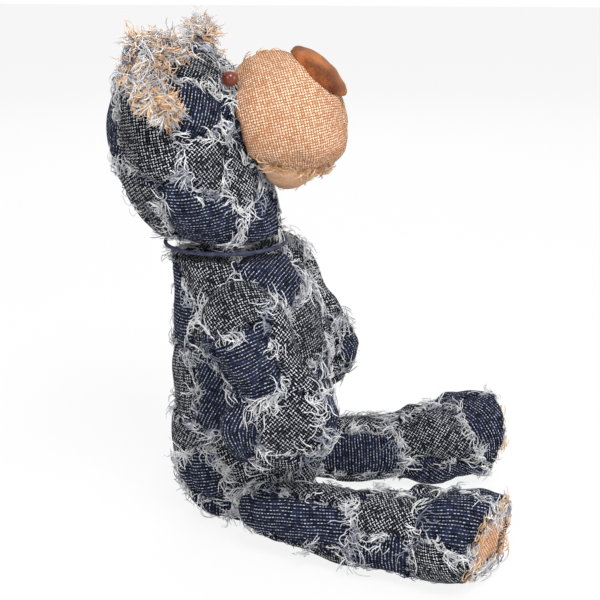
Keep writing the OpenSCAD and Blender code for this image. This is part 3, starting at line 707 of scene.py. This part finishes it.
nose_piece()
KEPT = {"thread": THREAD, "stitch": THREAD, "squeaker": SQUEAKER, "eye": EYE}
for name, piece in frame["nodes"].items():
    for word, material in KEPT.items():
        if word in name:
            piece.data.materials.clear()
            piece.data.materials.append(material)
            piece.data.polygons.foreach_set("use_smooth", np.ones(len(piece.data.polygons), bool))


# ---------------------------------------------------------------- frayed yarn

def strands(name, body, material, root, along, normal, length, turn, lift, radius, parts, seed, bend=40 * MM):
    """Yarn as closed three-sided tubes that leave the seam, rise, curl and settle on the cloth."""
    rng = np.random.default_rng(seed)
    count = len(root)
    side = np.cross(normal, along)
    step = (length / parts)[:, None]
    heading = np.zeros(count)
    flat = np.zeros((count, 2))
    height = np.full(count, 0.2 * MM)
    swing = np.sign(turn) * rng.normal(0.5, 0.25, count)
    path = []
    for k in range(parts + 1):
        reach = (flat ** 2).sum(1)
        up = height - reach / (2 * bend)
        path.append(root + flat[:, :1] * along + flat[:, 1:] * side + up[:, None] * normal)
        pitch = lift * math.cos(min(k / parts * 2.4, math.pi * 0.62))
        heading = heading + turn / parts + swing * math.sin(k * TAU / parts) + rng.normal(0, 0.08, count)
        way = np.stack([np.cos(heading), np.sin(heading)], 1)
        flat = flat + step * way * np.cos(pitch)[:, None]
        height = np.maximum(height + step[:, 0] * np.sin(pitch), radius * 0.8)
    path = np.array(path)
    path[:, :, 2] = np.maximum(path[:, :, 2], 0.4 * MM)
    ring = []
    for k in range(parts + 1):
        ahead = unit(path[min(k + 1, parts)] - path[max(k - 1, 0)])
        across = unit(np.cross(ahead, normal))
        over = np.cross(across, ahead)
        thick = (radius * (1.0 if k < parts - 1 else 0.75 if k < parts else 0.35))[:, None]
        for corner in range(3):
            turned = corner * TAU / 3
            ring.append(path[k] + thick * (math.cos(turned) * across + math.sin(turned) * over))
    points = np.stack(ring, 1).reshape(-1, 3)
    size = 3 * (parts + 1)
    quads = [[3 * k + c, 3 * k + (c + 1) % 3, 3 * k + 3 + (c + 1) % 3, 3 * k + 3 + c]
             for k in range(parts) for c in range(3)]
    starts = (np.arange(count) * size)[:, None, None]
    sides = (np.array(quads)[None] + starts).reshape(-1, 4)
    ends = (np.array([[0, 2, 1], [size - 3, size - 2, size - 1]])[None] + starts).reshape(-1, 3)
    mesh = mesh_from(name, points, sides, ends)
    mesh.materials.append(YARN[material])
    piece = new_object(name, mesh)
    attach(piece, body)
    return piece


def tangents(form, edge, rng, spots):
    """Random spots on some seam edges: place, normal, and the way out of the seam."""
    pick = rng.integers(0, len(edge), spots)
    a, b = form.points[edge[pick, 0]], form.points[edge[pick, 1]]
    share = rng.random((spots, 1))
    normal = unit(form.normals[edge[pick, 0]] + form.normals[edge[pick, 1]])
    out = unit(np.cross(unit(b - a), normal)) * rng.choice([-1.0, 1.0], (spots, 1))
    return a + share * (b - a), normal, out


def turned(way, normal, angle):
    angle = angle[:, None]
    return np.cos(angle) * way + np.sin(angle) * np.cross(normal, way)


def fringe(form, edge, material, per_mm, seed):
    """Short dense threads all along the seam."""
    rng = np.random.default_rng(seed)
    total = np.linalg.norm(form.points[edge[:, 0]] - form.points[edge[:, 1]], axis=1).sum() / MM
    spots = int(total * per_mm)
    if spots < 3:
        return
    root, normal, out = tangents(form, edge, rng, spots)
    along = turned(out, normal, rng.normal(0, 0.6, spots))
    strands(f"{form.name}_{material}_fringe", form.body, material, root - 0.5 * MM * normal, along, normal,
            length=rng.uniform(2.0, 5.5, spots) * MM, turn=rng.normal(0, 1.1, spots),
            lift=rng.uniform(0.2, 1.25, spots), radius=rng.uniform(0.16, 0.30, spots) * MM, parts=3, seed=seed + 1)


def tufts(form, edge, material, per_mm, threads, seed, reach=(6, 14)):
    """Clumps of longer curly threads, side by side in each clump."""
    rng = np.random.default_rng(seed)
    total = np.linalg.norm(form.points[edge[:, 0]] - form.points[edge[:, 1]], axis=1).sum() / MM
    clumps = int(total * per_mm)
    if clumps < 1:
        return
    root, normal, out = tangents(form, edge, rng, clumps)
    own = np.repeat(np.arange(clumps), rng.integers(threads[0], threads[1], clumps))
    n = len(own)
    lean = rng.normal(0, 0.8, clumps)
    size = rng.uniform(reach[0], reach[1], clumps) * MM
    curl = rng.normal(0, 2.4, clumps)
    rise = rng.uniform(0.05, 0.8, clumps)
    along = turned(out[own], normal[own], lean[own] + rng.normal(0, 0.15, n))
    slide = np.cross(normal, out)[own] * rng.normal(0, 2.0 * MM, n)[:, None]
    strands(f"{form.name}_{material}_tufts", form.body, material, root[own] + slide, along, normal[own],
            length=size[own] * rng.uniform(0.65, 1.15, n), turn=curl[own] + rng.normal(0, 0.35, n),
            lift=np.clip(rise[own] + rng.normal(0, 0.12, n), 0.02, 1.2),
            radius=rng.uniform(0.17, 0.29, n) * MM, parts=9, seed=seed + 1)


JOIN_SHARE = 0.25           # open edges are counted in a band some faces wide


def open_edge(form, other, low, high):
    """The edges of a form that lie this far from another form, where one is sewn to the other."""
    tree = surface_tree(other.points, other.quads)
    near = distances(tree, form.points)
    ring = (near > low) & (near < high)
    edge = edges_of(form.quads)
    return edge[ring[edge].all(1)]


def frayed(form, edge, dark, light, seed, much=1.0):
    """All the loose yarn of some seams: `dark` where there is denim on them, `light` where there is peach."""
    if dark.any():
        fringe(form, edge[dark], "navy", 2.6 * much, seed)
        tufts(form, edge[dark], "grey", 0.05 * much, (3, 8), seed + 4)
        tufts(form, edge[dark], "white", 0.26 * much, (4, 10), seed + 6)
    if light.any():
        fringe(form, edge[light], "peach", 1.3 * much, seed + 8)
        tufts(form, edge[light], "peach", 0.26 * much, (4, 10), seed + 10, (6, 13))


for number, form in enumerate(forms.values()):
    edge, a, b = form.seams()
    peach = np.array([form.cloth_of(i) in ("burlap", "fine") for i in range(len(form.patches) + 1)])
    frayed(form, edge, ~(peach[a] & peach[b]), peach[a] | peach[b], 1000 + 20 * number)

# Raw edges also run round each place where one form is sewn to another: the form that carries them,
# the other one, how near it is there, and whether the loose yarn is peach.
JOINED = [
    ("torso", "head", 1.0, 3.6, False),
    ("head", "torso", 1.0, 3.6, False),
    ("head", "muzzle", 2.0, 3.6, False),
]
for side in ("right", "left"):
    JOINED.append((side + "_arm", "torso", 1.5, 4.0, False))
    JOINED.append((side + "_leg", "torso", 1.5, 4.0, False))
    JOINED.append((side + "_ear", "head", 1.0, 3.4, True))
for number, (name, other, low, high, peach) in enumerate(JOINED):
    edge = open_edge(forms[name], forms[other], low * MM, high * MM)
    if len(edge):
        every = np.ones(len(edge), bool)
        frayed(forms[name], edge, every, every & peach, 3000 + 20 * number, JOIN_SHARE)


# ---------------------------------------------------------------- camera and light

def aim(piece, target):
    piece.rotation_euler = (Vector(target) - piece.location).to_track_quat("-Z", "Y").to_euler()


def camera(azimuth, elevation, distance, target, field):
    a, e = math.radians(azimuth), math.radians(elevation)
    back = Vector((math.sin(a) * math.cos(e), -math.cos(a) * math.cos(e), math.sin(e)))
    data = bpy.data.cameras.new("camera")
    data.sensor_width = 36
    data.lens = 18 / math.tan(field / 2)
    data.clip_start, data.clip_end = 0.02, 20
    piece = new_object("camera", data)
    piece.location = Vector(target) + back * distance
    aim(piece, target)
    bpy.context.scene.camera = piece
    return piece


def lamp(name, place, target, size, power, colour=(1, 1, 1)):
    data = bpy.data.lights.new(name, "AREA")
    data.shape = "DISK"
    data.size = size
    data.energy = power
    data.color = colour
    piece = new_object(name, data)
    piece.location = place
    aim(piece, target)


view = camera(-82, 16, 0.560, (0, -0.022, 0.112), 2 * math.atan(300 * 0.468 / 560))
view.data.shift_x = 2 / 600
view.data.shift_y = -3 / 600
CENTRE = (0, -0.02, 0.11)
lamp("key", (-0.9, -0.5, 1.4), CENTRE, 0.7, 20)
lamp("fill", (-1.3, 0.6, 0.7), CENTRE, 0.9, 6)
lamp("front", (-0.2, -1.5, 0.5), CENTRE, 0.8, 6)
lamp("far_side", (1.3, 0.2, 1.0), CENTRE, 0.9, 6)


AMBIENT = 0.42               # how much light comes from all round


def pale_world():
    world = bpy.data.worlds.new("studio")
    bpy.context.scene.world = world
    world.use_nodes = True
    tree = world.node_tree
    background = tree.nodes["Background"]
    background.inputs["Color"].default_value = (1, 1, 1, 1)
    path = tree.nodes.new("ShaderNodeLightPath")
    seen = path.outputs["Is Camera Ray"]
    for ray in ("Is Glossy Ray", "Is Transmission Ray"):
        either = tree.nodes.new("ShaderNodeMath")
        either.operation = "MAXIMUM"
        tree.links.new(seen, either.inputs[0])
        tree.links.new(path.outputs[ray], either.inputs[1])
        seen = either.outputs[0]
    strength = tree.nodes.new("ShaderNodeMapRange")
    tree.links.new(seen, strength.inputs[0])
    strength.inputs[3].default_value = AMBIENT
    strength.inputs[4].default_value = 1.0
    tree.links.new(strength.outputs[0], background.inputs["Strength"])


def pale_floor():
    """White to the eye and in reflections, and it still takes the bear's shadow."""
    s = Shader("floor")
    s.principled.inputs["Base Color"].default_value = (0.9, 0.9, 0.9, 1)
    s.principled.inputs["Roughness"].default_value = 1.0
    path = s.node("LightPath")
    seen = s.math("MAXIMUM", path.outputs["Is Camera Ray"], path.outputs["Is Glossy Ray"])
    seen = s.math("MAXIMUM", seen, path.outputs["Is Transmission Ray"])
    glow = s.node("Emission", {"Color": (1, 1, 1, 1), "Strength": 1.0})
    mix = s.node("MixShader", {0: s.math("MULTIPLY", seen, 0.86)})
    s.tree.links.new(s.principled.outputs[0], mix.inputs[1])
    s.tree.links.new(glow.outputs[0], mix.inputs[2])
    s.tree.links.new(mix.outputs[0], s.tree.nodes["Material Output"].inputs["Surface"])
    half = 6.0
    corners = [(-half, -half, 0), (half, -half, 0), (half, half, 0), (-half, half, 0)]
    mesh = mesh_from("floor", np.array(corners), np.array([[0, 1, 2, 3]]))
    mesh.materials.append(s.material)
    new_object("floor", mesh)


pale_world()
pale_floor()
bpy.context.scene.view_settings.view_transform = "Standard"
